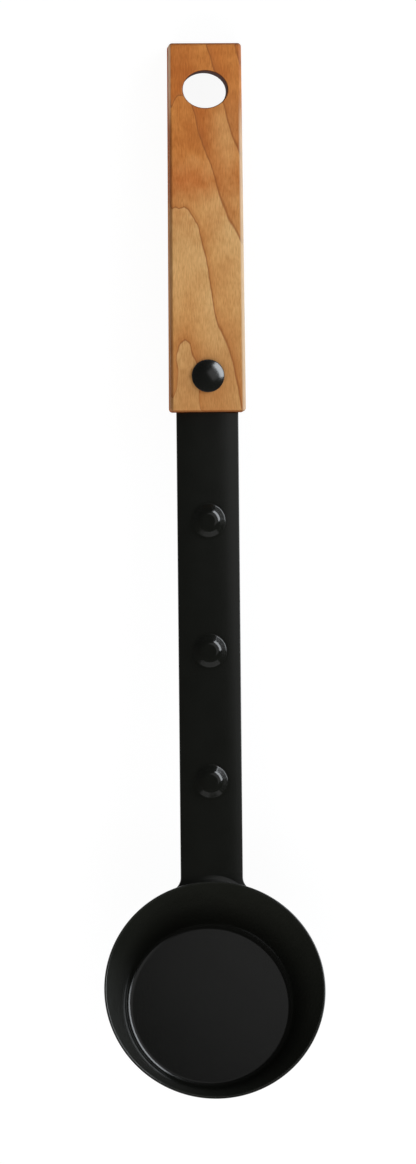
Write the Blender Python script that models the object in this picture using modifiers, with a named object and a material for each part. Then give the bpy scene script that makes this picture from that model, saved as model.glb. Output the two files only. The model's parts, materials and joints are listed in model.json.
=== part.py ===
"""A sauna ladle: a steel bowl welded to a flat bar, and a wooden grip riveted over the bar's tang.

The pieces are drawn in the bar's own frame: X across the bar, Y along it from the bowl to the grip,
Z out of its front face, with the origin where the bar's middle plane meets the bowl. An empty then
lays the whole ladle on a table, on the edge of its base and the end of its grip, with Z up.
"""

import math

import bmesh
import bpy

# Bowl, in metres as everything here; its two diameters are where the outer wall's line meets
# the plane of the rim and the plane of the underside
RIM_DIAMETER = 0.0890
BASE_DIAMETER = 0.0690
BOWL_HEIGHT = 0.033
BOWL_SHEET = 0.001
BASE_CORNER_RADIUS = 0.004

# Bar that carries the bowl
BAR_WIDTH = 0.025
BAR_THICKNESS = 0.002
BAR_EXPOSED_LENGTH = 0.1895
BAR_RISE = math.radians(14.5)
RIM_ABOVE_BAR = 0.002
FLARE_RADIUS = 0.0055
FLARE_TIP = 0.0009
TANG_WIDTH = 0.016
TANG_LENGTH = 0.040

# Domes pressed out of the bar
DOME_COUNT = 3
DOME_FIRST = 0.0413
DOME_PITCH = 0.0524
DOME_DIAMETER = 0.0140
DOME_CROWN_DIAMETER = 0.0060
DOME_HEIGHT = 0.0024
DOME_WALL = 0.0012

# Weld beads at the bowl
WELD_LEG = 0.0017
WELD_SHORT_OF_FLARE = 0.002

# Wooden grip
GRIP_LENGTH = 0.148
GRIP_LOWER_WIDTH = 0.0304
GRIP_UPPER_WIDTH = 0.0292
GRIP_THICKNESS = 0.013
GRIP_CORNER_RADIUS = 0.0015
GRIP_EDGE_RADIUS = 0.0013
HANG_HOLE_WIDTH = 0.0180
HANG_HOLE_HEIGHT = 0.0150
HANG_HOLE_FROM_TOP = 0.0186
HANG_HOLE_EDGE_BREAK = 0.0005

# Two-part rivet through grip and tang
RIVET_FROM_GRIP_END = 0.0143
RIVET_HEAD_DIAMETER = 0.0132
RIVET_HEAD_HEIGHT = 0.0026
RIVET_POST_DIAMETER = 0.0060
RIVET_PIN_DIAMETER = 0.0034
RIVET_PIN_END_WALL = 0.0010

# Gap left between pieces that touch, and how far a cutter runs past what it cuts
FIT_GAP = 0.0003
CUT_PAST = 0.002

# How finely round shapes are divided, and how close two points are one
BOWL_STEPS = 72
HANG_HOLE_STEPS = 48
ROUND_STEPS = 32
WELD_STEPS = 16
DOME_STEPS = 8
HEAD_STEPS = 8
RIM_STEPS = 10
ARC_STEPS = 5
EDGE_STEPS = 4
SAME_POINT = 0.00001
SHARP_ANGLE = math.radians(35)

# Worked out from the sizes above
WALL_LEAN = (RIM_DIAMETER - BASE_DIAMETER) / 2 / BOWL_HEIGHT
WALL_ANGLE = math.atan(WALL_LEAN)
JOINT_HEIGHT = BOWL_HEIGHT - RIM_ABOVE_BAR - BAR_THICKNESS / 2
JOINT_RADIUS = BASE_DIAMETER / 2 + WALL_LEAN * JOINT_HEIGHT
FLARE_END = math.asin((BAR_WIDTH / 2 + FLARE_RADIUS / 2) / JOINT_RADIUS)
FLARE_WIDTH = BAR_WIDTH + 2 * FLARE_RADIUS * (1 - math.sin(FLARE_END))
GRIP_END = BAR_EXPOSED_LENGTH + FIT_GAP
GRIP_TOP = GRIP_END + GRIP_LENGTH
RIVET_Y = GRIP_END + RIVET_FROM_GRIP_END
HANG_HOLE_Y = GRIP_TOP - HANG_HOLE_FROM_TOP


def arc(centre_x, centre_y, radius, start, end, steps=ARC_STEPS):
    """Points of an arc, both ends included, with angles in radians."""
    angles = [start + (end - start) * step / steps for step in range(steps + 1)]
    return [(centre_x + radius * math.cos(a), centre_y + radius * math.sin(a)) for a in angles]


def bowl_to_bar(y, z):
    """A point of the bowl's own Y, Z plane, seen in the bar's frame."""
    across = y - JOINT_RADIUS
    up = z - JOINT_HEIGHT
    return (
        across * math.cos(BAR_RISE) + up * math.sin(BAR_RISE),
        up * math.cos(BAR_RISE) - across * math.sin(BAR_RISE),
    )


def resting_place():
    """Tilt and shift that lay the ladle on its base edge and its grip's end, centred along Y."""
    lean = math.pi / 4 - WALL_ANGLE / 2
    corner_y = BASE_DIAMETER / 2 - BASE_CORNER_RADIUS * math.tan(lean)
    base_y, base_z = bowl_to_bar(corner_y, BASE_CORNER_RADIUS)
    end_y = GRIP_TOP - GRIP_EDGE_RADIUS
    end_z = GRIP_EDGE_RADIUS - GRIP_THICKNESS / 2
    span = math.hypot(end_y - base_y, end_z - base_z)
    table = math.atan2(end_z - base_z, end_y - base_y)
    table += math.asin((BASE_CORNER_RADIUS - GRIP_EDGE_RADIUS) / span)
    lift = BASE_CORNER_RADIUS + base_y * math.sin(table) - base_z * math.cos(table)
    rim_y, rim_z = bowl_to_bar(-RIM_DIAMETER / 2, BOWL_HEIGHT)
    nearest = rim_y * math.cos(table) + rim_z * math.sin(table)
    farthest = end_y * math.cos(table) - end_z * math.sin(table) + GRIP_EDGE_RADIUS
    return -table, (0.0, -(nearest + farthest) / 2, lift)


def clear_scene():
    for obj in list(bpy.data.objects):
        bpy.data.objects.remove(obj)


def new_collection(name):
    collection = bpy.data.collections.new(name)
    bpy.context.scene.collection.children.link(collection)
    return collection


def new_empty(name, collection, parent=None, location=(0, 0, 0), turn=0.0):
    empty = bpy.data.objects.new(name, None)
    empty.location = location
    empty.rotation_euler = (turn, 0, 0)
    empty.parent = parent
    collection.objects.link(empty)
    return empty


def new_material(name, colour, roughness, metallic):
    material = bpy.data.materials.new(name)
    material.use_nodes = True
    shader = material.node_tree.nodes["Principled BSDF"]
    shader.inputs["Base Color"].default_value = (*colour, 1)
    shader.inputs["Roughness"].default_value = roughness
    shader.inputs["Metallic"].default_value = metallic
    return material


def place(name, mesh, collection, parent, location=(0, 0, 0)):
    obj = bpy.data.objects.new(name, mesh)
    obj.location = location
    obj.parent = parent
    collection.objects.link(obj)
    return obj


def finish_part(obj, material):
    obj.data.materials.append(material)
    obj.data.shade_smooth()
    obj.data.set_sharp_from_angle(angle=SHARP_ANGLE)
    obj.modifiers.new("even_shading", "WEIGHTED_NORMAL").keep_sharp = True
    return obj


def hide_cutter(obj):
    obj.hide_render = True
    obj.display_type = "WIRE"
    return obj


def turned(name, profile, collection, parent, location=(0, 0, 0), steps=ROUND_STEPS):
    """A profile of (radius, height) points, spun about Z; it runs down the outer side."""
    mesh = bpy.data.meshes.new(name)
    links = [(i, i + 1) for i in range(len(profile) - 1)]
    mesh.from_pydata([(radius, 0, height) for radius, height in profile], links, [])
    obj = place(name, mesh, collection, parent, location)
    screw = obj.modifiers.new("turn", "SCREW")
    screw.steps = steps
    screw.render_steps = steps
    screw.use_merge_vertices = True
    screw.merge_threshold = SAME_POINT
    return obj


def mesh_of_curve(name, curve, collection, parent):
    """A curve turned into a closed mesh object, with its caps welded on."""
    drawn = place(name + "_curve", curve, collection, parent)
    bpy.context.view_layer.update()
    mesh = bpy.data.meshes.new_from_object(drawn.evaluated_get(bpy.context.evaluated_depsgraph_get()))
    bpy.data.objects.remove(drawn)
    shape = bmesh.new()
    shape.from_mesh(mesh)
    bmesh.ops.remove_doubles(shape, verts=shape.verts, dist=SAME_POINT)
    shape.to_mesh(mesh)
    shape.free()
    return place(name, mesh, collection, parent)


def flat_outline(name, points, thickness, collection, parent):
    curve = bpy.data.curves.new(name, "CURVE")
    curve.dimensions = "2D"
    curve.fill_mode = "BOTH"
    curve.extrude = thickness / 2
    spline = curve.splines.new("POLY")
    spline.points.add(len(points) - 1)
    for point, (x, y) in zip(spline.points, points):
        point.co = (x, y, 0, 1)
    spline.use_cyclic_u = True
    return mesh_of_curve(name, curve, collection, parent)


def round_bar(name, points, radius, collection, parent):
    curve = bpy.data.curves.new(name, "CURVE")
    curve.dimensions = "3D"
    curve.bevel_depth = radius
    curve.bevel_resolution = 3
    curve.use_fill_caps = True
    spline = curve.splines.new("POLY")
    spline.points.add(len(points) - 1)
    for point, place_of_point in zip(spline.points, points):
        point.co = (*place_of_point, 1)
    return mesh_of_curve(name, curve, collection, parent)


def block(name, size, centre, collection, parent):
    shape = bmesh.new()
    bmesh.ops.create_cube(shape, size=1)
    bmesh.ops.scale(shape, vec=size, verts=shape.verts)
    mesh = bpy.data.meshes.new(name)
    shape.to_mesh(mesh)
    shape.free()
    return place(name, mesh, collection, parent, centre)


def boolean(obj, other, operation):
    cut = obj.modifiers.new(operation.lower() + "_" + other.name, "BOOLEAN")
    cut.operation = operation
    cut.object = other
    return cut


def wall_cutter(name, grow, collection, parent):
    """The bowl's outer wall as a solid cone that runs on above the rim, grown by a gap."""
    top = 2 * BOWL_HEIGHT
    offset = grow / math.cos(WALL_ANGLE)
    lower_radius = BASE_DIAMETER / 2 + offset
    upper_radius = lower_radius + WALL_LEAN * top
    profile = [(0, top), (upper_radius, top), (lower_radius, 0), (0, 0)]
    return hide_cutter(turned(name, profile, collection, parent, steps=BOWL_STEPS))


def rounded_corner(floor_z, wall_foot, radius):
    """Arc from a flat floor at floor_z into the leaning wall whose line meets that floor at wall_foot."""
    reach = radius * math.tan(math.pi / 4 - WALL_ANGLE / 2)
    return arc(wall_foot - reach, floor_z + radius, radius, -math.pi / 2, -WALL_ANGLE)


def make_bowl(collection, parent, material):
    wall_across = BOWL_SHEET / math.cos(WALL_ANGLE)
    outer_foot = BASE_DIAMETER / 2
    inner_foot = outer_foot - wall_across + WALL_LEAN * BOWL_SHEET
    inner_corner = rounded_corner(BOWL_SHEET, inner_foot, BASE_CORNER_RADIUS - BOWL_SHEET)
    outer_corner = rounded_corner(0, outer_foot, BASE_CORNER_RADIUS)
    rim_radius = BOWL_SHEET / 2
    rim_centre = RIM_DIAMETER / 2 - wall_across / 2 - WALL_LEAN * rim_radius
    rim_z = BOWL_HEIGHT - rim_radius
    rim = arc(rim_centre, rim_z, rim_radius, math.pi - WALL_ANGLE, -WALL_ANGLE, RIM_STEPS)
    profile = [(0, BOWL_SHEET)] + inner_corner + rim + outer_corner[::-1] + [(0, 0)]
    return finish_part(turned("bowl", profile, collection, parent, steps=BOWL_STEPS), material)


def bar_outline():
    """Half the bar's outline, from the bowl to the tang's end, then its mirror image.

    The flare is an arc that leaves the bar's edge and ends level with the curve of the bowl's wall.
    """
    half = BAR_WIDTH / 2
    tip = FLARE_WIDTH / 2
    tip_y = foot_of_wall(tip, 0) + FIT_GAP + FLARE_TIP
    centre_y = tip_y + FLARE_RADIUS * math.cos(FLARE_END)
    flare = arc(half + FLARE_RADIUS, centre_y, FLARE_RADIUS, -math.pi / 2 - FLARE_END, -math.pi)
    right = [(tip, -RIM_DIAMETER / 4)] + flare
    right += [(half, BAR_EXPOSED_LENGTH), (TANG_WIDTH / 2, BAR_EXPOSED_LENGTH)]
    right += [(TANG_WIDTH / 2, GRIP_END + TANG_LENGTH)]
    return right + [(-x, y) for x, y in reversed(right)]


def foot_of_wall(x, z):
    """Where the bowl's outer wall stands along Y, at a place across the bar and above its middle plane."""
    rise_cos = math.cos(BAR_RISE)
    rise_sin = math.sin(BAR_RISE)
    bowl_y, bowl_z = bowl_to_bar(0, 0)
    up = z - bowl_z
    reach = BASE_DIAMETER / 2 + WALL_LEAN * up * rise_cos
    square = rise_cos**2 - (WALL_LEAN * rise_sin) ** 2
    linear = up * rise_sin * rise_cos + reach * WALL_LEAN * rise_sin
    constant = x**2 + (up * rise_sin) ** 2 - reach**2
    return bowl_y + (linear + math.sqrt(linear**2 - square * constant)) / square


def dome_profile(diameter, crown_diameter, height, sink):
    """A flat crown that rolls over and runs out level, standing on a plug that sinks into the bar."""
    slope = (diameter - crown_diameter) / 2
    shares = [step / DOME_STEPS for step in range(DOME_STEPS)]
    curve = [
        (crown_diameter / 2 + slope * share, height * (1 + math.cos(math.pi * share)) / 2)
        for share in shares
    ]
    edge = diameter / 2
    foot_height = curve[-1][1] / 4
    return [(0, height)] + curve + [(edge, foot_height), (edge, -sink), (0, -sink)]


def make_bar(collection, cutters, parent, material, bowl_wall):
    bar = flat_outline("shaft_strip", bar_outline(), BAR_THICKNESS, collection, parent)
    boolean(bar, bowl_wall, "DIFFERENCE")
    front = BAR_THICKNESS / 2
    for index in range(DOME_COUNT):
        y = DOME_FIRST + index * DOME_PITCH
        dome_shape = dome_profile(DOME_DIAMETER, DOME_CROWN_DIAMETER, DOME_HEIGHT, front)
        dome = hide_cutter(turned(f"dome_{index + 1}", dome_shape, cutters, parent, (0, y, front)))
        boolean(bar, dome, "UNION")
        inside = DOME_DIAMETER - 2 * DOME_WALL
        inside_crown = DOME_CROWN_DIAMETER - 2 * DOME_WALL
        dimple_shape = dome_profile(inside, inside_crown, DOME_HEIGHT, CUT_PAST)
        dimple = hide_cutter(turned(f"dimple_{index + 1}", dimple_shape, cutters, parent, (0, y, -front)))
        boolean(bar, dimple, "DIFFERENCE")
    boolean(bar, rivet_hole("tang_hole", BAR_THICKNESS, cutters, parent), "DIFFERENCE")
    return finish_part(bar, material)


def rivet_hole(name, thickness, cutters, parent):
    radius = RIVET_POST_DIAMETER / 2 + FIT_GAP
    end = thickness / 2 + CUT_PAST
    profile = [(0, end), (radius, end), (radius, -end), (0, -end)]
    return hide_cutter(turned(name, profile, cutters, parent, (0, RIVET_Y, 0)))


def make_weld(name, side, collection, cutters, parent, material, bowl_wall):
    """A bead along the corner of bar and wall; side is 1 in front and -1 behind."""
    face = side * BAR_THICKNESS / 2
    width = FLARE_WIDTH - 2 * WELD_SHORT_OF_FLARE
    across = [width * (step / WELD_STEPS - 0.5) for step in range(WELD_STEPS + 1)]
    bead = round_bar(name, [(x, foot_of_wall(x, face), face) for x in across], WELD_LEG, collection, parent)
    reach = (2 * RIM_DIAMETER, 2 * RIM_DIAMETER, 2 * WELD_LEG)
    below = face + side * (FIT_GAP - WELD_LEG)
    bar_side = hide_cutter(block(name + "_bar_side", reach, (0, 0, below), cutters, parent))
    boolean(bead, bowl_wall, "DIFFERENCE")
    boolean(bead, bar_side, "DIFFERENCE")
    return finish_part(bead, material)


def round_edges(shape, edges, radius):
    bmesh.ops.bevel(
        shape,
        geom=edges,
        offset=radius,
        segments=EDGE_STEPS,
        profile=0.5,
        affect="EDGES",
        clamp_overlap=True,
        material=-1,
    )


def grip_blank():
    """The grip before it is cut: a tapered block, its corners and then its front and back edges rounded."""
    shape = bmesh.new()
    bmesh.ops.create_cube(shape, size=1)
    for vertex in shape.verts:
        width = GRIP_UPPER_WIDTH if vertex.co.y > 0 else GRIP_LOWER_WIDTH
        vertex.co.x *= width
        vertex.co.y *= GRIP_LENGTH
        vertex.co.z *= GRIP_THICKNESS
    corners = [edge for edge in shape.edges if abs(edge.verts[0].co.z - edge.verts[1].co.z) > 0]
    round_edges(shape, corners, GRIP_CORNER_RADIUS)
    faces = [face for face in shape.faces if abs(face.normal.z) > 0.9]
    round_edges(shape, list({edge for face in faces for edge in face.edges}), GRIP_EDGE_RADIUS)
    mesh = bpy.data.meshes.new("handle_grip")
    shape.to_mesh(mesh)
    shape.free()
    return mesh


def hang_hole(cutters, parent):
    """An oval hole with its edges broken, turned round and then narrowed along the grip."""
    radius = HANG_HOLE_WIDTH / 2
    end = GRIP_THICKNESS / 2 + CUT_PAST
    mouth = radius + HANG_HOLE_EDGE_BREAK + CUT_PAST
    neck = GRIP_THICKNESS / 2 - HANG_HOLE_EDGE_BREAK
    profile = [(0, end), (mouth, end), (radius, neck), (radius, -neck), (mouth, -end), (0, -end)]
    hole = turned("hang_hole", profile, cutters, parent, (0, HANG_HOLE_Y, 0), steps=HANG_HOLE_STEPS)
    hole.scale = (1, HANG_HOLE_HEIGHT / HANG_HOLE_WIDTH, 1)
    return hide_cutter(hole)


def make_grip(collection, cutters, parent, material):
    grip = place("handle_grip", grip_blank(), collection, parent, (0, GRIP_END + GRIP_LENGTH / 2, 0))
    depth = TANG_LENGTH + FIT_GAP + CUT_PAST
    mortise_size = (TANG_WIDTH + 2 * FIT_GAP, depth, BAR_THICKNESS + 2 * FIT_GAP)
    mortise_centre = (0, GRIP_END - CUT_PAST + depth / 2, 0)
    mortise = hide_cutter(block("mortise", mortise_size, mortise_centre, cutters, parent))
    boolean(grip, hang_hole(cutters, parent), "DIFFERENCE")
    boolean(grip, mortise, "DIFFERENCE")
    boolean(grip, rivet_hole("grip_hole", GRIP_THICKNESS, cutters, parent), "DIFFERENCE")
    return finish_part(grip, material)


def head_arc(base):
    """Half the section of a domed rivet head, from its crown down to its rim at height base."""
    radius = RIVET_HEAD_DIAMETER / 2
    sphere = (radius**2 + RIVET_HEAD_HEIGHT**2) / (2 * RIVET_HEAD_HEIGHT)
    edge = math.asin(radius / sphere)
    return arc(0, base + RIVET_HEAD_HEIGHT - sphere, sphere, math.pi / 2, math.pi / 2 - edge, HEAD_STEPS)


def make_rivet_post(collection, parent, material):
    base = GRIP_THICKNESS / 2 + FIT_GAP
    post = RIVET_POST_DIAMETER / 2
    bore = RIVET_PIN_DIAMETER / 2 + FIT_GAP
    end = -GRIP_THICKNESS / 2
    roof = base - RIVET_PIN_END_WALL
    profile = head_arc(base) + [(post, base), (post, end), (bore, end), (bore, roof), (0, roof)]
    return finish_part(turned("rivet_post", profile, collection, parent, (0, RIVET_Y, 0)), material)


def make_rivet_pin(collection, parent, material):
    base = GRIP_THICKNESS / 2 + FIT_GAP
    pin = RIVET_PIN_DIAMETER / 2
    end = FIT_GAP + RIVET_PIN_END_WALL - base
    profile = head_arc(base) + [(pin, base), (pin, end), (0, end)]
    obj = turned("rivet_pin", profile, collection, parent, (0, RIVET_Y, 0))
    obj.rotation_euler = (0, math.pi, 0)
    return finish_part(obj, material)


def build():
    clear_scene()
    parts = new_collection("sauna_ladle")
    cutters = new_collection("sauna_ladle_cutters")
    turn, shift = resting_place()
    ladle = new_empty("ladle_on_table", parts, location=shift, turn=turn)
    bowl_y, bowl_z = bowl_to_bar(0, 0)
    bowl_axis = new_empty("bowl_axis", parts, ladle, (0, bowl_y, bowl_z), -BAR_RISE)
    black_coat = new_material("black_coat", (0.012, 0.012, 0.012), 0.45, 0.0)
    rivet_black = new_material("rivet_black", (0.015, 0.015, 0.016), 0.25, 0.0)
    oiled_wood = new_material("oiled_wood", (0.46, 0.20, 0.065), 0.5, 0.0)
    bowl_wall = wall_cutter("bowl_wall", FIT_GAP, cutters, bowl_axis)
    make_bowl(parts, bowl_axis, black_coat)
    make_bar(parts, cutters, ladle, black_coat, bowl_wall)
    make_weld("weld_bead_top", 1, parts, cutters, ladle, black_coat, bowl_wall)
    make_weld("weld_bead_under", -1, parts, cutters, ladle, black_coat, bowl_wall)
    make_grip(parts, cutters, ladle, oiled_wood)
    make_rivet_post(parts, ladle, rivet_black)
    make_rivet_pin(parts, ladle, rivet_black)


build()
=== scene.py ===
import json
import math

import bmesh
import bpy
from mathutils import Matrix, Vector


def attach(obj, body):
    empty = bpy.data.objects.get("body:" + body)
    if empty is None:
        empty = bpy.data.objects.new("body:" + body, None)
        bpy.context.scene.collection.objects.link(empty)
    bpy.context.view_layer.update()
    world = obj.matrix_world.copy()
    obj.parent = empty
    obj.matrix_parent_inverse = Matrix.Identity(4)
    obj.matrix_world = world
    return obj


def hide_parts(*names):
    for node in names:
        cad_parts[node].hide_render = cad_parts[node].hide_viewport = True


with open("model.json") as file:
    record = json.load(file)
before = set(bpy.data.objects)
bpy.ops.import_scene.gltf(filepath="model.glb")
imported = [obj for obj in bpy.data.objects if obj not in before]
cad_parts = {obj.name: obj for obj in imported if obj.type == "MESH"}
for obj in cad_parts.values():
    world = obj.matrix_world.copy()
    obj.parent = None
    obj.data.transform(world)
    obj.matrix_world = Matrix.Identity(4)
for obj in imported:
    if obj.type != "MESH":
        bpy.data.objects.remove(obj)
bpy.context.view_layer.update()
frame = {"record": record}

# A sauna ladle, dressed: a black coated steel bowl on a flat bar with pressed domes, and an oiled
# wooden grip held by a black rivet. Pieces are drawn in the frame of the bar, X across, Y from the
# bowl to the grip and Z out of the front, or in the frame of the bowl, Z along its axis.
# Sizes are in metres, apart from those of the finishes, which are in millimetres.

# Bowl
RIM_DIAMETER = 0.0890
BASE_DIAMETER = 0.0690
BOWL_HEIGHT = 0.033
BOWL_SHEET = 0.001
BASE_CORNER_RADIUS = 0.004

# Bar
BAR_WIDTH = 0.025
BAR_THICKNESS = 0.002
BAR_EXPOSED_LENGTH = 0.1895
RIM_ABOVE_BAR = 0.002
BAR_EDGE_RADIUS = 0.0004
BAR_CROWN = 0.0007
BAR_CROWN_POWER = 3
FLARE_RADIUS = 0.0055
FLARE_TIP = 0.0009
TANG_WIDTH = 0.016
TANG_LENGTH = 0.040

# Domes pressed out of the bar: a flat crown, a round shoulder, a straight wall and a hollow foot
DOME_COUNT = 3
DOME_FIRST = 0.0413
DOME_PITCH = 0.0524
DOME_DIAMETER = 0.0140
DOME_CROWN_DIAMETER = 0.0044
DOME_SHOULDER_RADIUS = 0.0038
DOME_FOOT_RADIUS = 0.0008
DOME_SLOPE = math.radians(40)
DOME_WALL = 0.0012

# Weld beads
WELD_FRONT_LEG = 0.0007
WELD_BACK_LEG = 0.0014
WELD_TOE = 0.0030
WELD_BULGE = 0.72
WELD_SHORT_OF_FLARE = 0.002
WELD_RIPPLE = 0.0019
WELD_RIPPLE_DEPTH = 0.08
WELD_END = 0.06

# Grip
GRIP_LENGTH = 0.148
GRIP_LOWER_WIDTH = 0.0304
GRIP_UPPER_WIDTH = 0.0292
GRIP_THICKNESS = 0.013
GRIP_CORNER_RADIUS = 0.0015
GRIP_EDGE_RADIUS = 0.0013
HANG_HOLE_WIDTH = 0.0180
HANG_HOLE_HEIGHT = 0.0150
HANG_HOLE_FROM_TOP = 0.0186
HANG_HOLE_EDGE_BREAK = 0.0006

# Rivet
RIVET_FROM_GRIP_END = 0.0143
RIVET_HEAD_DIAMETER = 0.0132
RIVET_HEAD_HEIGHT = 0.0026
RIVET_HEAD_ROLL = 0.0004
RIVET_POST_DIAMETER = 0.0060
RIVET_PIN_DIAMETER = 0.0034
RIVET_PIN_END_WALL = 0.0010

# Gaps: the solids keep the first one, pieces that seat on each other here keep the second
FIT_GAP = 0.0003
SEAT_GAP = 0.00005

# A flat face keeps this margin inside its rounded edges, so that it is shaded flat
FLAT_MARGIN = 0.0001

# Shapes are drawn in millimetres, because a fill takes points that are 0.00003 apart as one
DRAWN_UNIT = 0.001
SAME_POINT = 0.0001

# How finely round shapes are divided, and the angle from which an edge is shaded sharp
BOWL_STEPS = 192
RING_STEPS = 96
WELD_STEPS = 96
END_STEPS = 40
ARC_STEPS = 10
DOME_STEPS = 14
CROWN_CUTS = 8
SHARP_ANGLE = math.radians(40)

# Worked out from the sizes above
WALL_LEAN = (RIM_DIAMETER - BASE_DIAMETER) / 2 / BOWL_HEIGHT
WALL_ANGLE = math.atan(WALL_LEAN)
JOINT_HEIGHT = BOWL_HEIGHT - RIM_ABOVE_BAR - BAR_THICKNESS / 2
JOINT_RADIUS = BASE_DIAMETER / 2 + WALL_LEAN * JOINT_HEIGHT
FLARE_END = math.asin((BAR_WIDTH / 2 + FLARE_RADIUS / 2) / JOINT_RADIUS)
FLARE_HALF_WIDTH = BAR_WIDTH / 2 + FLARE_RADIUS * (1 - math.sin(FLARE_END))
DOME_MIDDLES = [DOME_FIRST + DOME_PITCH * index for index in range(DOME_COUNT)]
GRIP_END = BAR_EXPOSED_LENGTH + FIT_GAP
GRIP_TOP = GRIP_END + GRIP_LENGTH
HANG_HOLE_Y = GRIP_TOP - HANG_HOLE_FROM_TOP
RIVET_Y = GRIP_END + RIVET_FROM_GRIP_END
RIVET_SEAT = GRIP_THICKNESS / 2 + SEAT_GAP


def face_frame(mount, origin):
    """Axes with Z against the way that a mount's face looks, and X across the ladle."""
    up = -Vector(mount["axis"])
    across = Vector((1, 0, 0))
    turn = Matrix((across, up.cross(across), up)).transposed()
    return Matrix.Translation(origin) @ turn.to_4x4()


mounts = {mount["name"]: mount for mount in frame["record"]["mounts"]}
bowl_frame = face_frame(mounts["bowl_base"], Vector(mounts["bowl_base"]["pos_m"]))
bar_frame = face_frame(mounts["grip_back"], bowl_frame @ Vector((0, JOINT_RADIUS, JOINT_HEIGHT)))
grip_frame = bar_frame @ Matrix.Translation((0, GRIP_END, 0))
rivet_frame = bar_frame @ Matrix.Translation((0, RIVET_Y, 0))


# Shapes

def arc(centre, radius, start, end, steps=ARC_STEPS):
    """Points of an arc in a plane, both ends included, with angles in radians."""
    angles = [start + (end - start) * step / steps for step in range(steps + 1)]
    return [(centre[0] + radius * math.cos(a), centre[1] + radius * math.sin(a)) for a in angles]


def ring(shape, points):
    """A closed loop of edges through points."""
    verts = [shape.verts.new(Vector(point) / DRAWN_UNIT) for point in points]
    return [shape.edges.new(pair) for pair in zip(verts, verts[1:] + verts[:1])]


def skin(shape, rings):
    """Walls from each ring to the next."""
    for one, other in zip(rings, rings[1:]):
        bmesh.ops.bridge_loops(shape, edges=one + other)


def fill(shape, outline, holes=()):
    """A flat face inside an outline, with holes left open."""
    edges = outline + [edge for hole in holes for edge in hole]
    made = bmesh.ops.triangle_fill(shape, edges=edges, use_beauty=True)["geom"]
    return [part for part in made if isinstance(part, bmesh.types.BMFace)]


def fill_level(shape, outline, holes):
    """A flat face between rounded edges, with a narrow margin that keeps its shading flat."""
    faces = fill(shape, outline, holes)
    margin = FLAT_MARGIN / DRAWN_UNIT
    bmesh.ops.inset_region(shape, faces=faces, thickness=margin, use_even_offset=True)


def cap(shape, loop):
    """One face inside a small ring."""
    bmesh.ops.edgeloop_fill(shape, edges=loop)


def circle(radius, centre_y, z, stretch=1.0):
    """Points of a circle in front of the bar, or of an oval where stretch isn't 1."""
    turns = [2 * math.pi * step / RING_STEPS for step in range(RING_STEPS)]
    return [(radius * math.cos(a), centre_y + stretch * radius * math.sin(a), z) for a in turns]


def rivet_bore(shape, start, end):
    """The bore for the rivet's post, from one height to another; returns the rings at its ends."""
    radius = RIVET_POST_DIAMETER / 2 + FIT_GAP
    ends = [ring(shape, circle(radius, RIVET_Y, z)) for z in (start, end)]
    skin(shape, ends)
    return ends


def rounded_edge(thickness, radius):
    """(height, drawn in) pairs round a plate's edge, from its front face to its back."""
    turns = [math.pi / 2 * step / ARC_STEPS for step in range(ARC_STEPS + 1)]
    front = [(thickness / 2 - radius * (1 - math.cos(a)), radius * (1 - math.sin(a))) for a in turns]
    return front + [(-height, drawn_in) for height, drawn_in in reversed(front)]


def turned(profile, steps):
    """A shape spun about Z from a profile of (radius, height) points."""
    shape = bmesh.new()
    verts = [shape.verts.new(Vector((radius, 0, height)) / DRAWN_UNIT) for radius, height in profile]
    edges = [shape.edges.new(pair) for pair in zip(verts, verts[1:])]
    bmesh.ops.spin(
        shape, geom=verts + edges, cent=(0, 0, 0), axis=(0, 0, 1),
        angle=2 * math.pi, steps=steps, use_merge=True,
    )
    return shape


def placed(name, shape, place, material):
    """Closes a drawn shape and makes it an object whose place is in its mesh."""
    bmesh.ops.remove_doubles(shape, verts=shape.verts, dist=SAME_POINT)
    bmesh.ops.recalc_face_normals(shape, faces=shape.faces)
    bmesh.ops.transform(shape, matrix=place @ Matrix.Scale(DRAWN_UNIT, 4), verts=shape.verts)
    mesh = bpy.data.meshes.new(name)
    shape.to_mesh(mesh)
    shape.free()
    mesh.shade_smooth()
    mesh.set_sharp_from_angle(angle=SHARP_ANGLE)
    mesh.materials.append(material)
    piece = bpy.data.objects.new(name, mesh)
    bpy.context.scene.collection.objects.link(piece)
    return piece


def finished(name, shape, place, material, node):
    """A piece of the ladle, which stands for a solid of the frame."""
    piece = placed(name, shape, place, material)
    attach(piece, "root")
    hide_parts(node)


# Bowl

def corner(floor_z, wall_foot, radius):
    """Arc from a flat floor into the leaning wall whose line meets that floor at wall_foot."""
    reach = radius * math.tan(math.pi / 4 - WALL_ANGLE / 2)
    return arc((wall_foot - reach, floor_z + radius), radius, -math.pi / 2, -WALL_ANGLE)


def make_bowl(material):
    wall_across = BOWL_SHEET / math.cos(WALL_ANGLE)
    outer_foot = BASE_DIAMETER / 2
    inner_foot = outer_foot - wall_across + WALL_LEAN * BOWL_SHEET
    inner = corner(BOWL_SHEET, inner_foot, BASE_CORNER_RADIUS - BOWL_SHEET)
    outer = corner(0, outer_foot, BASE_CORNER_RADIUS)
    lip = BOWL_SHEET / 2
    lip_centre = (RIM_DIAMETER / 2 - wall_across / 2 - WALL_LEAN * lip, BOWL_HEIGHT - lip)
    rim = arc(lip_centre, lip, math.pi - WALL_ANGLE, -WALL_ANGLE)
    floor = [(0, BOWL_SHEET), (inner[0][0] - FLAT_MARGIN, BOWL_SHEET)]
    base = [(outer[0][0] - FLAT_MARGIN, 0), (0, 0)]
    shape = turned(floor + inner + rim + outer[::-1] + base, BOWL_STEPS)
    finished("bowl_shell", shape, bowl_frame, material, "bowl")


# Bar

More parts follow.
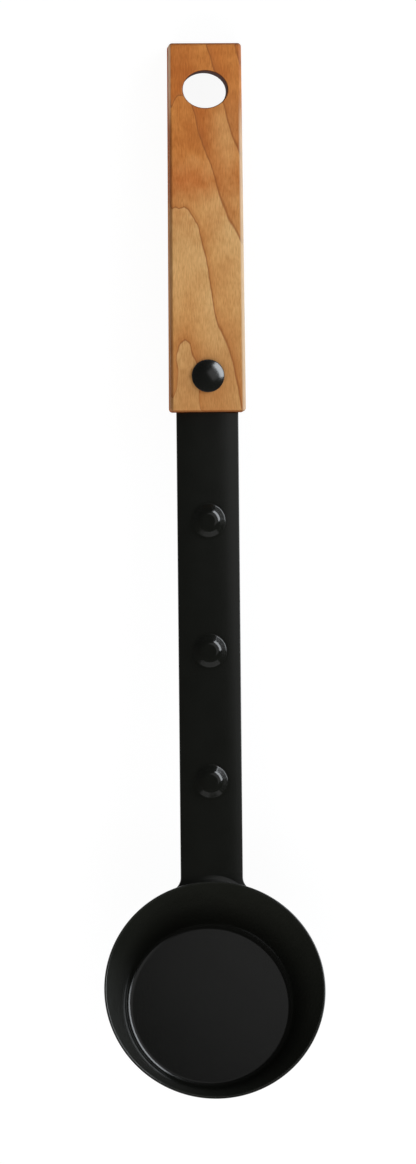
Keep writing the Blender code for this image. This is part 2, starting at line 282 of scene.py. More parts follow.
def wall_at(x, z):
    """Where the bowl's outer wall stands along Y, at a place across the bar and at a height."""
    to_bar = bar_frame.inverted() @ bowl_frame
    base = to_bar.translation
    cos_rise = to_bar[1][1]
    sin_rise = to_bar[1][2]
    up = z - base.z
    reach = BASE_DIAMETER / 2 + WALL_LEAN * up * cos_rise
    square = cos_rise**2 - (WALL_LEAN * sin_rise) ** 2
    linear = up * sin_rise * cos_rise + reach * WALL_LEAN * sin_rise
    constant = x**2 + (up * sin_rise) ** 2 - reach**2
    return base.y + (linear + math.sqrt(linear**2 - square * constant)) / square


def bar_outline(z, rounding):
    """Points round the bar at a height z, drawn in by its rounding, which fades out at the flare's tips."""
    half = BAR_WIDTH / 2
    tip_y = wall_at(FLARE_HALF_WIDTH, 0) + FIT_GAP + FLARE_TIP
    centre = (half + FLARE_RADIUS, tip_y + FLARE_RADIUS * math.cos(FLARE_END))
    flare = []
    for step in range(ARC_STEPS + 1):
        share = step / ARC_STEPS
        angle = -math.pi / 2 - FLARE_END - (math.pi / 2 - FLARE_END) * share
        reach = FLARE_RADIUS + rounding * share
        flare.append((centre[0] + reach * math.cos(angle), centre[1] + reach * math.sin(angle)))
    side = half - rounding
    shoulder = GRIP_END - SEAT_GAP - rounding
    tang = TANG_WIDTH / 2 - rounding
    right = flare + [(side, shoulder), (tang, shoulder), (tang, GRIP_END + TANG_LENGTH - rounding)]
    start = flare[0][0]
    across = [start * (2 * step / END_STEPS - 1) for step in range(1, END_STEPS)]
    coped_end = [(x, wall_at(x, z) + FIT_GAP) for x in across]
    points = coped_end + right + [(-x, y) for x, y in reversed(right)]
    return [(x, y, z) for x, y in points]


def dome_section(drawn_in):
    """(radius, height) points of a dome from its foot to its crown, or of the dimple drawn in behind it."""
    edge = DOME_DIAMETER / 2 - drawn_in
    shoulder_radius = DOME_SHOULDER_RADIUS - drawn_in
    down = -math.pi / 2
    foot = arc((edge, DOME_FOOT_RADIUS), DOME_FOOT_RADIUS, down, down - DOME_SLOPE, DOME_STEPS)
    wall_top = DOME_CROWN_DIAMETER / 2 + shoulder_radius * math.sin(DOME_SLOPE)
    wall_height = foot[-1][1] + (foot[-1][0] - wall_top) * math.tan(DOME_SLOPE)
    centre = (DOME_CROWN_DIAMETER / 2, wall_height - shoulder_radius * math.cos(DOME_SLOPE))
    return foot + arc(centre, shoulder_radius, math.pi / 2 - DOME_SLOPE, math.pi / 2, DOME_STEPS)


def press_dome(shape, y, face, section):
    """One dome, or the dimple behind it; returns the ring that the flat bar is filled up to."""
    rings = [ring(shape, circle(radius, y, face + height)) for radius, height in section]
    skin(shape, rings)
    cap(shape, rings[-1])
    return rings[0]


def crown_drop(x):
    """How far the bent bar lies back at a place across it."""
    return BAR_CROWN * abs(2 * x / BAR_WIDTH) ** BAR_CROWN_POWER


def crown_bar(shape):
    """Bends the bar a little across its width, as pressing the domes leaves it."""
    half = BAR_WIDTH / 2 / DRAWN_UNIT
    for step in range(1 - CROWN_CUTS, CROWN_CUTS):
        parts = list(shape.verts) + list(shape.edges) + list(shape.faces)
        cut = (half * step / CROWN_CUTS, 0, 0)
        bmesh.ops.bisect_plane(shape, geom=parts, plane_co=cut, plane_no=(1, 0, 0))
    for vertex in shape.verts:
        vertex.co.z -= crown_drop(vertex.co.x * DRAWN_UNIT) / DRAWN_UNIT


def make_bar(material):
    shape = bmesh.new()
    front = BAR_THICKNESS / 2
    rounding = rounded_edge(BAR_THICKNESS, BAR_EDGE_RADIUS)
    edge = [ring(shape, bar_outline(z, drawn_in)) for z, drawn_in in rounding]
    skin(shape, edge)
    bore = rivet_bore(shape, front, -front)
    domes = [press_dome(shape, y, front, dome_section(0)) for y in DOME_MIDDLES]
    fill_level(shape, edge[0], domes + bore[:1])
    dimples = [press_dome(shape, y, -front, dome_section(DOME_WALL)) for y in DOME_MIDDLES]
    fill_level(shape, edge[-1], dimples + bore[1:])
    crown_bar(shape)
    finished("bar_with_domes", shape, bar_frame, material, "shaft_strip")


# Weld beads

def bead_section(x, side, leg, toe):
    """Points round a bead at one place across the bar; side is 1 in front of the bar and -1 behind it."""
    face = side * (BAR_THICKNESS / 2 + SEAT_GAP) - crown_drop(x)
    foot = wall_at(x, face) + SEAT_GAP
    wall_top = wall_at(x, face + side * leg) + SEAT_GAP
    points = [(x, foot, face)]
    for step in range(ARC_STEPS + 1):
        turn = math.pi / 2 * step / ARC_STEPS
        share = (math.cos(turn) + math.sin(turn)) ** -(2 * WELD_BULGE)
        out = foot + (wall_top - foot) * math.sin(turn) + toe * share * math.cos(turn)
        points.append((x, out, face + side * leg * share * math.sin(turn)))
    return points


def make_weld(name, node, side, leg, ripple_depth, material):
    shape = bmesh.new()
    half = FLARE_HALF_WIDTH - WELD_SHORT_OF_FLARE
    rings = []
    for step in range(WELD_STEPS + 1):
        x = half * math.sin(math.pi * (step / WELD_STEPS - 0.5))
        taper = max(1 - (x / half) ** 2, WELD_END)
        size = taper * (1 - ripple_depth * abs(math.sin(math.pi * x / WELD_RIPPLE)))
        rings.append(ring(shape, bead_section(x, side, leg * size, WELD_TOE * size)))
    skin(shape, rings)
    cap(shape, rings[0])
    cap(shape, rings[-1])
    finished(name, shape, bar_frame, material, node)


# Grip

def grip_outline(z, drawn_in):
    """Points round the grip at a height z: a tapered oblong with round corners."""
    radius = GRIP_CORNER_RADIUS - drawn_in
    lower_x = GRIP_LOWER_WIDTH / 2 - GRIP_CORNER_RADIUS
    upper_x = GRIP_UPPER_WIDTH / 2 - GRIP_CORNER_RADIUS
    lower_y = GRIP_END + GRIP_CORNER_RADIUS
    upper_y = GRIP_TOP - GRIP_CORNER_RADIUS
    centres = [(upper_x, upper_y), (-upper_x, upper_y), (-lower_x, lower_y), (lower_x, lower_y)]
    points = []
    for quarter, centre in enumerate(centres):
        points += arc(centre, radius, quarter * math.pi / 2, (quarter + 1) * math.pi / 2)
    return [(x, y, z) for x, y in points]


def hang_hole(shape):
    """The oval hanging hole with its edges broken; returns its rings from front to back."""
    half = HANG_HOLE_WIDTH / 2
    stretch = HANG_HOLE_HEIGHT / HANG_HOLE_WIDTH
    rounding = rounded_edge(GRIP_THICKNESS, HANG_HOLE_EDGE_BREAK)
    rings = [ring(shape, circle(half + wider, HANG_HOLE_Y, z, stretch)) for z, wider in rounding]
    skin(shape, rings)
    return rings


def cut_mortise(shape, slot, bores):
    """Opens the grip's lower end for the tang; the rivet's bores come out in the mortise's walls."""
    end_y = GRIP_END / DRAWN_UNIT
    end_wall = [face for face in shape.faces if abs(face.calc_center_median().y - end_y) < SAME_POINT]
    opened = max(end_wall, key=lambda face: face.calc_area())
    rim = list(opened.edges)
    bmesh.ops.delete(shape, geom=[opened], context="FACES_ONLY")
    half = TANG_WIDTH / 2 + FIT_GAP
    deep = GRIP_END + TANG_LENGTH + FIT_GAP
    corners = [(half, slot), (-half, slot), (-half, -slot), (half, -slot)]
    mouth = ring(shape, [(x, GRIP_END, z) for x, z in corners])
    back = ring(shape, [(x, deep, z) for x, z in corners])
    runs = [shape.edges.new((near.verts[0], far.verts[0])) for near, far in zip(mouth, back)]
    fill(shape, rim, [mouth])
    fill(shape, back)
    front_bore, back_bore = bores
    for side, holes in enumerate(([front_bore], [], [back_bore], [])):
        wall = [mouth[side], runs[(side + 1) % len(runs)], back[side], runs[side]]
        fill(shape, wall, holes)


def make_grip(material):
    shape = bmesh.new()
    front = GRIP_THICKNESS / 2
    slot = BAR_THICKNESS / 2 + FIT_GAP
    rounding = rounded_edge(GRIP_THICKNESS, GRIP_EDGE_RADIUS)
    edge = [ring(shape, grip_outline(z, drawn_in)) for z, drawn_in in rounding]
    skin(shape, edge)
    hole = hang_hole(shape)
    front_bore = rivet_bore(shape, front, slot)
    back_bore = rivet_bore(shape, -front, -slot)
    fill_level(shape, edge[0], [hole[0], front_bore[0]])
    fill_level(shape, edge[-1], [hole[-1], back_bore[0]])
    cut_mortise(shape, slot, [front_bore[1], back_bore[1]])
    finished("wooden_grip", shape, bar_frame, material, "handle_grip")


# Rivet

def head_section():
    """Half the section of a rivet's head, from its crown to its seat, with a rolled edge."""
    height = RIVET_HEAD_HEIGHT + FIT_GAP - SEAT_GAP
    roll = RIVET_HEAD_ROLL
    flat = RIVET_HEAD_DIAMETER / 2 - roll
    rise = height - roll
    sphere = (flat**2 + rise**2 - roll**2) / (2 * (rise - roll))
    lean = math.asin(flat / (sphere - roll))
    dome_centre = (0, RIVET_SEAT + height - sphere)
    dome = arc(dome_centre, sphere, math.pi / 2, math.pi / 2 - lean, DOME_STEPS)
    edge = arc((flat, RIVET_SEAT + roll), roll, math.pi / 2 - lean, -math.pi / 2)
    return dome + edge[1:]


def make_rivet_post(material):
    post = RIVET_POST_DIAMETER / 2
    bore = RIVET_PIN_DIAMETER / 2 + FIT_GAP
    end = -GRIP_THICKNESS / 2
    roof = GRIP_THICKNESS / 2 + FIT_GAP - RIVET_PIN_END_WALL
    profile = head_section() + [(post, RIVET_SEAT), (post, end), (bore, end), (bore, roof), (0, roof)]
    shape = turned(profile, RING_STEPS)
    finished("rivet_front", shape, rivet_frame, material, "rivet_post")


def make_rivet_pin(material):
    pin = RIVET_PIN_DIAMETER / 2
    end = RIVET_PIN_END_WALL - GRIP_THICKNESS / 2
    profile = head_section() + [(pin, RIVET_SEAT), (pin, end), (0, end)]
    shape = turned(profile, RING_STEPS)
    from_behind = rivet_frame @ Matrix.Rotation(math.pi, 4, "Y")
    finished("rivet_back", shape, from_behind, material, "rivet_pin")


# Finishes

MILLIMETRE = (0.001, 0.001, 0.001)
AS_IT_IS = (1.0, 1.0, 1.0)


def mm(length):
    """A length in millimetres, the unit that the finishes are measured in."""
    return 1000 * length


class Value:
    """A number or colour that varies over a surface; arithmetic with numbers adds Math nodes."""

    def __init__(self, finish, socket):
        self.finish = finish
        self.socket = socket

    def __add__(self, other):
        return self.finish.math("ADD", self, other)

    def __sub__(self, other):
        return self.finish.math("SUBTRACT", self, other)

    def __rsub__(self, other):
        return self.finish.math("SUBTRACT", other, self)

    def __mul__(self, other):
        return self.finish.math("MULTIPLY", self, other)

    def __truediv__(self, other):
        return self.finish.math("DIVIDE", self, other)

    def __rtruediv__(self, other):
        return self.finish.math("DIVIDE", other, self)

    def __pow__(self, other):
        return self.finish.math("POWER", self, other)

    __radd__ = __add__
    __rmul__ = __mul__


class Finish:
    """A material in the making: its Principled shader and the nodes that feed it."""

    def __init__(self, name, constants):
        self.material = bpy.data.materials.new(name)
        self.material.use_nodes = True
        self.tree = self.material.node_tree
        self.shader = self.tree.nodes["Principled BSDF"]
        self.feed(self.shader, constants)

    def feed(self, node, sockets):
        """Sets or links a node's sockets, given by name or number."""
        for name, value in sockets.items():
            if isinstance(value, Value):
                self.tree.links.new(value.socket, node.inputs[name])
            else:
                node.inputs[name].default_value = value

    def node(self, kind, settings, sockets, output=0):
        """A new node with its settings and sockets; returns one of its outputs."""
        made = self.tree.nodes.new("ShaderNode" + kind)
        for name, value in settings.items():
            setattr(made, name, value)
        self.feed(made, sockets)
        return Value(self, made.outputs[output])

    def math(self, operation, *values):
        return self.node("Math", {"operation": operation}, dict(enumerate(values)))

    def mix(self, share, one, other):
        """One colour, going over into another as share goes from 0 to 1."""
        return self.node("Mix", {"data_type": "RGBA"}, {0: share, 6: one, 7: other}, output=2)

    def tint(self, colour, factors):
        """A colour with each channel scaled."""
        return self.node("VectorMath", {"operation": "MULTIPLY"}, {0: colour, 1: factors})

    def vary(self, colour, share, end, start=AS_IT_IS):
        """A colour scaled by start, going over into the same colour scaled by end."""
        return self.mix(share, self.tint(colour, start), self.tint(colour, end))

    def parts(self, point, axes="XYZ"):
        """The coordinates of a point along the axes that are named."""
        return [self.node("SeparateXYZ", {}, {"Vector": point}, output=axis) for axis in axes]

    def place(self, axes=Matrix(), unit=MILLIMETRE):
        """The point on the piece in a frame's own axes, in a unit for each axis."""
        point = self.node("TexCoord", {}, {}, output="Object")
        sockets = {"Vector": point, "Scale": unit}
        sockets["Location"] = axes.translation
        sockets["Rotation"] = axes.to_euler()
        return self.node("Mapping", {"vector_type": "TEXTURE"}, sockets)

    def noise(self, point, scale, detail, roughness=0.5):
        sockets = {"Vector": point, "Scale": scale, "Detail": detail, "Roughness": roughness}
        return self.node("TexNoise", {}, sockets)

    def step(self, value, low, high):
        """0 below low, 1 above high, and smooth between."""
        sockets = {"Value": value, "From Min": low, "From Max": high}
        return self.node("MapRange", {"interpolation_type": "SMOOTHSTEP"}, sockets)

    def near(self, distance, full, gone):
        """1 up to a distance, 0 beyond another, and smooth between."""
        return 1.0 - self.step(distance, full, gone)

    def bell(self, distance, width):
        """1 where a distance is 0, falling off smoothly over a width on both sides."""
        share = distance / width
        return self.math("EXPONENT", -1.0 * share * share)

    def bump(self, height, depth, strength):
        return self.node("Bump", {}, {"Height": height, "Distance": depth, "Strength": strength})


# Black finishes: their colours run from dark to light in patches
COAT_DARK = (0.0066, 0.0070, 0.0056, 1)
COAT_LIGHT = (0.0092, 0.0097, 0.0079, 1)
COAT_ROUGHNESS = 0.18
LACQUER_DARK = (0.0060, 0.0065, 0.0054, 1)
LACQUER_LIGHT = (0.0082, 0.0087, 0.0074, 1)
LACQUER_ROUGHNESS = 0.20
PEEL_DEPTH = 0.00002

# The smooth coat of a dome fades out over this distance from the dome's edge
DOME_FADE = 1.0

# Painted light pales the coat on the bowl's inner wall between these heights above its base, and by this
# much
WALL_LIGHT_HEIGHTS = (1.0, 22.0)
WALL_LIGHT_TINT = (1.9, 1.9, 1.9)


def black_coat():
    """Satin powder coat: near black, with a fine orange peel, smoother on the domes and in the bowl, and
    with painted light on the bowl's inner wall.
    """
    coat = Finish("black_coat_look", {"IOR": 1.66, "Specular IOR Level": 0.5})
    point = coat.place()
    patches = coat.noise(point, 0.12, 3)
    peel = coat.noise(point, 1.6, 2)
    grit = coat.noise(point, 6.0, 1)
    # The bowl's inner wall is paled with painted light
    inside, painted_wall_light = bowl_inside(coat)
    smoothed = 0.03 * inside + 0.075 * dome_places(coat)
    colour = coat.mix(patches, COAT_DARK, COAT_LIGHT)
    coat.feed(coat.shader, {
        "Base Color": coat.vary(colour, painted_wall_light, WALL_LIGHT_TINT),
        "Roughness": COAT_ROUGHNESS + 0.04 * patches + 0.02 * grit - smoothed,
        "Normal": coat.bump(peel + 0.35 * grit, PEEL_DEPTH, 0.35),
    })
    return coat.material


def bowl_inside(coat):
    """1 inside the bowl, and how much painted light pales it there: more up the wall, not on the floor."""
    x, y, z = coat.parts(coat.place(bowl_frame))
    sheet = mm(BOWL_SHEET)
    from_outer_wall = mm(BASE_DIAMETER / 2) + WALL_LEAN * z - (x * x + y * y) ** 0.5
    inside = coat.step(from_outer_wall, 0.4 * sheet, 0.7 * sheet)
    return inside, inside * coat.step(z, *WALL_LIGHT_HEIGHTS)


def dome_places(coat):
    """1 on the bar's domes, which pressing and handling have smoothed."""
    x, y = coat.parts(coat.place(bar_frame), "XY")
    edge = mm(DOME_DIAMETER / 2)
    on_domes = 0.0
    for middle in DOME_MIDDLES:
        along = y - mm(middle)
        on_domes = on_domes + coat.near((x * x + along * along) ** 0.5, edge, edge + DOME_FADE)
    return on_domes


def rivet_black():
    """Glossy black lacquer on the rivet's heads."""
    lacquer = Finish("rivet_black_look", {"IOR": 1.62, "Specular IOR Level": 0.95})
    point = lacquer.place()
    patches = lacquer.noise(point, 0.3, 3)
    peel = lacquer.noise(point, 1.1, 2)
    lacquer.feed(lacquer.shader, {
        "Base Color": lacquer.mix(patches, LACQUER_DARK, LACQUER_LIGHT),
        "Roughness": LACQUER_ROUGHNESS + 0.05 * patches,
        "Normal": lacquer.bump(peel, PEEL_DEPTH, 0.3),
    })
    return lacquer.material


# Wood in millimetres in the grip's own frame, X across, Y from its lower end and Z out of its front:
# layer lines cross the front at FIRST_LINE and every LINE_SPACING above it, and each swell, given as
# x, y, half width, half length and lift, draws the lines near it down, or up where its lift is negative
PITH_X = -11.0
PITH_BEHIND_FRONT = 30.0
PITH_Z = mm(GRIP_THICKNESS / 2) - PITH_BEHIND_FRONT
LAYER_TAPER = 0.126
FIRST_LINE = 25.0
LINE_SPACING = 46.2
LINE_WANDER = 7.0
GRAIN_SWELLS = [
    (-7.0, 76.0, 9.0, 24.0, -11.0),
    (4.0, 38.0, 3.5, 15.0, 9.0),
    (-15.0, 9.0, 4.0, 11.0, 22.0),
    (0.0, 2.0, 5.0, 10.0, 24.0),
    (-8.0, 29.0, 4.0, 7.0, -4.0),
    (-8.0, 124.0, 7.0, 13.0, -11.0),
    (15.0, 62.0, 7.0, 24.0, -24.0),
    (14.0, 100.0, 6.0, 12.0, -8.0),
    (-15.0, 79.0, 4.0, 8.0, -5.0),
]

# How long the marks in the wood are along each axis of the grip, in metres
WANDER_CELL = (0.004, 0.012, 0.004)
FIBRE_CELL = (0.0005, 0.0035, 0.0005)
FLECK_CELL = (0.0004, 0.0022, 0.0004)
MOTTLE_CELL = (0.010, 0.011, 0.010)
FIBRE_DEPTH = 0.00004

# Colours of each layer's early and late wood, low on the grip, where painted shade darkens them, in its
# middle and high up
EARLY_LOW_SHADED = (0.640, 0.320, 0.110, 1)
EARLY_MIDDLE = (0.760, 0.440, 0.175, 1)
EARLY_HIGH = (0.660, 0.238, 0.050, 1)
LATE_LOW_SHADED = (0.560, 0.225, 0.060, 1)
LATE_MIDDLE = (0.690, 0.320, 0.095, 1)
LATE_HIGH = (0.560, 0.158, 0.025, 1)
LATE_BROWN = (0.50, 0.170, 0.040, 1)
LINE_BROWN = (0.33, 0.092, 0.020, 1)
# The pale of the painted highlight on the grip's front edges
EDGE_HIGHLIGHT_PALE = (0.86, 0.66, 0.44, 1)

# Factors that lighten or darken the wood's red, green and blue
FIGURE_LIGHT = (1.10, 1.18, 1.25)
FIGURE_DARK = (0.88, 0.78, 0.66)
PATCH_DARK = (0.93, 0.72, 0.57)
FIBRE_LIGHT = (1.07, 1.10, 1.15)
FIBRE_DARK = (0.90, 0.86, 0.79)
FLECK_DARK = (0.74, 0.62, 0.50)
# The next factor is painted shade on the grip's lower left front edge
EDGE_SHADE_DARK = (0.52, 0.48, 0.46)
END_GRAIN_DARK = (0.50, 0.40, 0.32)
# The next factor is painted shade on the wall of the hanging hole
HOLE_WALL_SHADE_DARK = (0.12, 0.08, 0.05)
# The next factor is painted shade on the grip's side faces
SIDE_SHADE_DARK = (0.88, 0.66, 0.44)

# Heights between which the wood turns from low to middle and from middle to high, the second
# wandering with the mottle, and two patches by x, y, half width and half length
# The painted shade low on the grip fades out between the first two heights
MIDDLE_HEIGHTS = (6.0, 44.0)
HIGH_HEIGHTS = (82.0, 122.0)
HIGH_WANDER = 30.0
YELLOW_PATCH = (8.0, 111.0, 7.0, 14.0)
DARK_PATCH = (-7.0, 92.5, 10.0, 5.0)

# Reaches: a mark is full up to the first distance and gone beyond the second
LINE_REACH = (0.05, 0.75)
LATE_REACH = (0.0, 3.5)
END_GRAIN_REACH = (0.2, 0.9)
FACE_REACH = (1.0, 1.9)
# Where the painted highlights on the front edges and the painted shade on the lower left one reach, and the
# heights where the left edge turns from painted shade to painted highlight
FRONT_EDGE_LIGHT_AND_SHADE_REACH = (1.2, 2.2)
RIGHT_HIGHLIGHT_REACH = (1.0, 1.7)
LEFT_HIGHLIGHT_REACH = (0.3, 1.0)
LEFT_SHADE_REACH = (0.8, 1.6)
LEFT_SHADE_TO_HIGHLIGHT_HEIGHTS = (108.0, 130.0)

# The reach of the painted shade on the wall of the hanging hole, as a share of the hole's half size
HOLE_WALL_REACH = (1.005, 1.05)


def wood_noise(wood, cell, detail, roughness=0.5):
    """Noise in the grip's axes, drawn out along its grain."""
    return wood.noise(wood.place(grip_frame, cell), 1.0, detail, roughness)


def spot(wood, point, middle_x, middle_y, half_width, half_length):
    """1 at one place of the front, falling off smoothly round it."""
    x, y = wood.parts(point, "XY")
    return wood.bell(x - middle_x, half_width) * wood.bell(y - middle_y, half_length)


def grain_height(wood, point):
    """Where a growth layer, which is a cone about the pith, would meet the front's middle line."""
    x, y, z = wood.parts(point)
    from_pith = ((x - PITH_X) * (x - PITH_X) + (z - PITH_Z) * (z - PITH_Z)) ** 0.5
    height = y + (from_pith - PITH_BEHIND_FRONT) / LAYER_TAPER
    for *place, lift in GRAIN_SWELLS:
        height = height + lift * spot(wood, point, *place)
    return height


def layer_lines(wood, point):
    """How far up in its layer a place is, from 0 to 1, and how far from the lines below and above it."""
    (x,) = wood.parts(point, "X")
    wander = LINE_WANDER * (wood_noise(wood, WANDER_CELL, 2) - 0.5)
    layer = (grain_height(wood, point) + wander - FIRST_LINE) / LINE_SPACING
    phase = wood.math("FRACT", layer)
    from_pith = x - PITH_X
    steep = from_pith / (LAYER_TAPER * (from_pith * from_pith + PITH_BEHIND_FRONT**2) ** 0.5)
    spacing = LINE_SPACING / (steep * steep + 1.0) ** 0.5
    return phase, phase * spacing, (1.0 - phase) * spacing


def layer_colour(wood, point, phase, mottle):
    """Late wood turning into early wood up each layer, darker low on the grip with painted shade, paler in
    its middle and redder high up.
    """
    (y,) = wood.parts(point, "Y")
    middle = wood.step(y, *MIDDLE_HEIGHTS)
    high = wood.step(y + HIGH_WANDER * mottle, *HIGH_HEIGHTS)
    high = high * (1.0 - 0.55 * spot(wood, point, *YELLOW_PATCH))
    early = wood.mix(high, wood.mix(middle, EARLY_LOW_SHADED, EARLY_MIDDLE), EARLY_HIGH)
    late = wood.mix(high, wood.mix(middle, LATE_LOW_SHADED, LATE_MIDDLE), LATE_HIGH)
    figure = (wood.step(mottle, 0.30, 0.72) - 0.5) * (0.55 + 0.45 * high)
    colour = wood.vary(wood.mix(phase, late, early), 0.5 + figure, FIGURE_DARK, FIGURE_LIGHT)
    return wood.vary(colour, spot(wood, point, *DARK_PATCH), PATCH_DARK)


def painted_edge_light(wood, point):
    """Painted highlight on the front edges, on the right and at the upper left, and painted shade on the
    lower left one.
    """
    x, y, z = wood.parts(point)
    taper = (GRIP_LOWER_WIDTH - GRIP_UPPER_WIDTH) / 2 / GRIP_LENGTH
    half = mm(GRIP_LOWER_WIDTH / 2) - y * taper
    in_front = wood.near(mm(GRIP_THICKNESS / 2) - z, *FRONT_EDGE_LIGHT_AND_SHADE_REACH)
    upper = wood.step(y, *LEFT_SHADE_TO_HIGHLIGHT_HEIGHTS)
    lower = 1.0 - upper
    right_highlight = wood.near(half - x, *RIGHT_HIGHLIGHT_REACH) * lower
    left_highlight = wood.near(half + x, *LEFT_HIGHLIGHT_REACH) * upper
    left_shade = wood.near(half + x, *LEFT_SHADE_REACH) * lower
    return in_front * (right_highlight + left_highlight), in_front * left_shade


def bare_and_shaded_places(wood, point):
    """1 on the wall of the hanging hole, 1 on the end grain of both ends and 1 on the sides; the hole's
    wall and the sides get painted shade.
    """
    x, y, z = wood.parts(point)
    across = x / mm(HANG_HOLE_WIDTH / 2)
    along = (y - mm(HANG_HOLE_Y - GRIP_END)) / mm(HANG_HOLE_HEIGHT / 2)
    hole_wall = wood.near((across * across + along * along) ** 0.5, *HOLE_WALL_REACH)
    lower_end = wood.near(y, *END_GRAIN_REACH)
    upper_end = wood.near(mm(GRIP_LENGTH) - y, *END_GRAIN_REACH)
    from_face = mm(GRIP_THICKNESS / 2) - wood.math("ABSOLUTE", z)
    return hole_wall, lower_end + upper_end, wood.step(from_face, *FACE_REACH)


def oiled_wood():
    """Flat-sawn honey brown wood, oiled: arched layer lines, fibres and a mottled figure, with painted
    highlights on its front edges and painted shade low down, on its lower left edge, its sides and in the
    hanging hole.
    """
    wood = Finish("oiled_wood_look", {"Specular IOR Level": 0.45})
    point = wood.place(grip_frame)
    fibres = wood_noise(wood, FIBRE_CELL, 2)
    flecks = wood.step(wood_noise(wood, FLECK_CELL, 1), 0.56, 0.72)
    mottle = wood_noise(wood, MOTTLE_CELL, 3, 0.55)
    phase, above_line, below_line = layer_lines(wood, point)
    line = wood.near(wood.math("MINIMUM", above_line, 1.8 * below_line), *LINE_REACH)
    late = wood.near(above_line, *LATE_REACH)
    colour = layer_colour(wood, point, phase, mottle)
    colour = wood.mix(0.40 * late, colour, LATE_BROWN)
    colour = wood.mix(0.70 * line, colour, LINE_BROWN)
    colour = wood.vary(colour, wood.step(fibres, 0.28, 0.72), FIBRE_DARK, FIBRE_LIGHT)
    colour = wood.vary(colour, 0.40 * flecks, FLECK_DARK)
    # Painted highlights on the right and upper left front edges, painted shade on the lower left one
    edge_highlight, edge_shade = painted_edge_light(wood, point)
    colour = wood.mix(0.65 * edge_highlight, colour, EDGE_HIGHLIGHT_PALE)
    colour = wood.vary(colour, edge_shade, EDGE_SHADE_DARK)
    hole_wall, ends, sides = bare_and_shaded_places(wood, point)
    colour = wood.vary(colour, ends, END_GRAIN_DARK)
    # Painted shade on the wall of the hanging hole
    colour = wood.vary(colour, hole_wall, HOLE_WALL_SHADE_DARK)
    # Painted shade on the grip's side faces
    colour = wood.vary(colour, sides, SIDE_SHADE_DARK)
    polished = (1.0 - sides) * (1.0 - wood.math("MAXIMUM", hole_wall, ends))
    wood.feed(wood.shader, {
        "Base Color": colour,
        "Roughness": 0.88 - polished * (0.44 + 0.12 * edge_highlight - 0.10 * fibres - 0.06 * mottle),
        "Normal": wood.bump(fibres + 0.5 * flecks, FIBRE_DEPTH, 0.5),
    })
    return wood.material


# Studio

FLOOR_RADIUS = 14.0
FLOOR_WALL = 0.5
FLOOR_BEND = 0.4
FLOOR_BEND_STEPS = 16
PAPER_GREY = (0.2, 0.2, 0.2, 1)
PAPER_SHADOW_GREY = (0.12, 0.12, 0.12, 1)
PAPER_GLOW = 0.93
ROOM_GREY = (0.02, 0.02, 0.02, 1)
COOL_WHITE = (0.91, 0.96, 1.0)


def make_floor():
    """A round pale floor whose far edge turns up into a wall."""
    bend_centre = (FLOOR_RADIUS - FLOOR_BEND, FLOOR_BEND)
    bend = arc(bend_centre, FLOOR_BEND, -math.pi / 2, 0, FLOOR_BEND_STEPS)
    shape = turned([(0, 0)] + bend + [(FLOOR_RADIUS, FLOOR_WALL)], RING_STEPS)
    floor = placed("studio_floor", shape, Matrix(), floor_paper())


def floor_paper():
    """White paper: it takes the ladle's shadow, and what the camera sees of it is close to white."""
    paper = Finish("studio_paper", {"Base Color": PAPER_GREY, "Roughness": 0.9})
    seen = paper.node("LightPath", {}, {}, output="Is Camera Ray")
    glossy = paper.node("LightPath", {}, {}, output="Is Glossy Ray")
    through = paper.node("LightPath", {}, {}, output="Is Transmission Ray")
    shown = paper.math("MAXIMUM", paper.math("MAXIMUM", seen, glossy), through)
    shadowed = paper.node("BsdfDiffuse", {}, {"Color": PAPER_SHADOW_GREY})
    glow = paper.node("Emission", {}, {"Color": (1, 1, 1, 1), "Strength": PAPER_GLOW})
    white = paper.node("AddShader", {}, {0: shadowed, 1: glow})
    plain = Value(paper, paper.shader.outputs[0])
    look = paper.node("MixShader", {}, {0: shown, 1: plain, 2: white})
    output = paper.tree.nodes["Material Output"]
    paper.tree.links.new(look.socket, output.inputs["Surface"])
    return paper.material


def softbox(name, direction, distance, size, watts, mirrored=True, colour=(1, 1, 1)):
    """A rectangular lamp that faces the ladle, in a direction of degrees from +X to +Y and up."""
    data = bpy.data.lights.new(name, "AREA")
    data.shape = "RECTANGLE"
    data.size, data.size_y = size
    data.energy = watts
    data.color = colour
    lamp = bpy.data.objects.new(name, data)
    around, up = (math.radians(angle) for angle in direction)
    level = math.cos(up)
    towards = Vector((level * math.cos(around), level * math.sin(around), math.sin(up)))
    lamp.location = distance * towards
    lamp.rotation_euler = towards.to_track_quat("Z", "Y").to_euler()
    lamp.visible_glossy = mirrored
    bpy.context.scene.collection.objects.link(lamp)


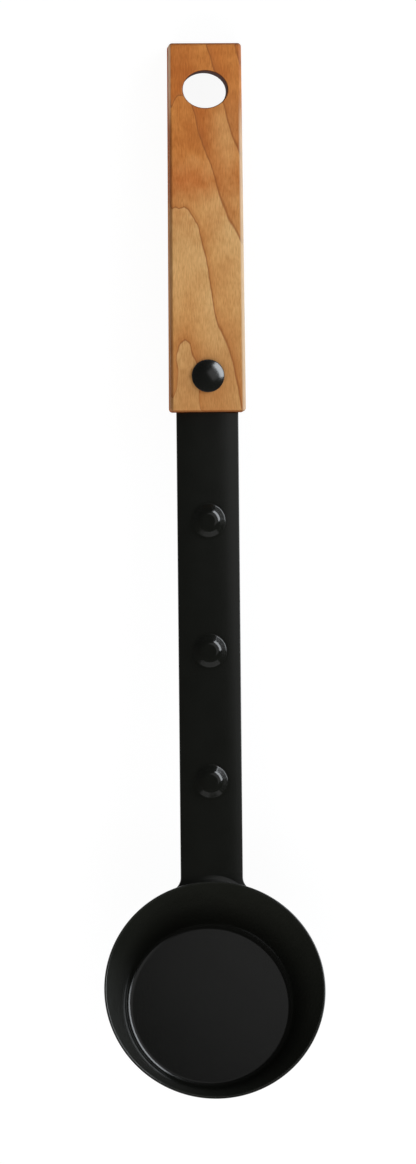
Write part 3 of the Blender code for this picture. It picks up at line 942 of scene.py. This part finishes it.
def light_studio():
    """Lamps that show in the black coat, and two fills that light the wood and don't show in the coat."""
    world = bpy.data.worlds.new("studio")
    world.use_nodes = True
    world.node_tree.nodes["Background"].inputs["Color"].default_value = ROOM_GREY
    bpy.context.scene.world = world
    softbox("key_softbox", (32, 24), 1.27, (1.32, 0.66), 13.1, colour=COOL_WHITE)
    softbox("high_fill", (33, 60), 0.8, (0.66, 0.5), 0.30)
    softbox("low_front", (270, 10), 1.6, (3.0, 0.5), 1.3)
    softbox("front_fill", (270, 30), 1.6, (3.0, 1.5), 27, mirrored=False)
    softbox("left_fill", (190, 40), 1.6, (2.4, 1.6), 10, mirrored=False)


# Camera: it looks down on the bar's front, a little from the left, with the ladle leaning a little
VIEW_DISTANCE = 2.7
VIEW_TARGET = (-0.0005, -0.0059, 0.02)
VIEW_FORE = math.radians(2.48)
VIEW_SIDE = math.radians(3.5)
VIEW_LEAN = math.radians(0.36)
VIEW_LENS = 207.9


def make_camera():
    data = bpy.data.cameras.new("camera")
    data.lens = VIEW_LENS
    camera = bpy.data.objects.new("camera", data)
    lean = Matrix.Rotation(VIEW_LEAN, 3, "Z")
    fore = Matrix.Rotation(VIEW_FORE, 3, "X")
    side = Matrix.Rotation(VIEW_SIDE, 3, "Y")
    turn = (lean @ fore @ side).transposed()
    place = Vector(VIEW_TARGET) + turn @ Vector((0, 0, VIEW_DISTANCE))
    camera.matrix_world = Matrix.Translation(place) @ turn.to_4x4()
    bpy.context.scene.collection.objects.link(camera)
    bpy.context.scene.camera = camera


def dress_ladle():
    coat = black_coat()
    lacquer = rivet_black()
    make_bowl(coat)
    make_bar(coat)
    make_weld("weld_in_front", "weld_bead_top", 1, WELD_FRONT_LEG, 0, coat)
    make_weld("weld_behind", "weld_bead_under", -1, WELD_BACK_LEG, WELD_RIPPLE_DEPTH, coat)
    make_grip(oiled_wood())
    make_rivet_post(lacquer)
    make_rivet_pin(lacquer)


bpy.context.scene.view_settings.view_transform = "Standard"
dress_ladle()
make_floor()
light_studio()
make_camera()
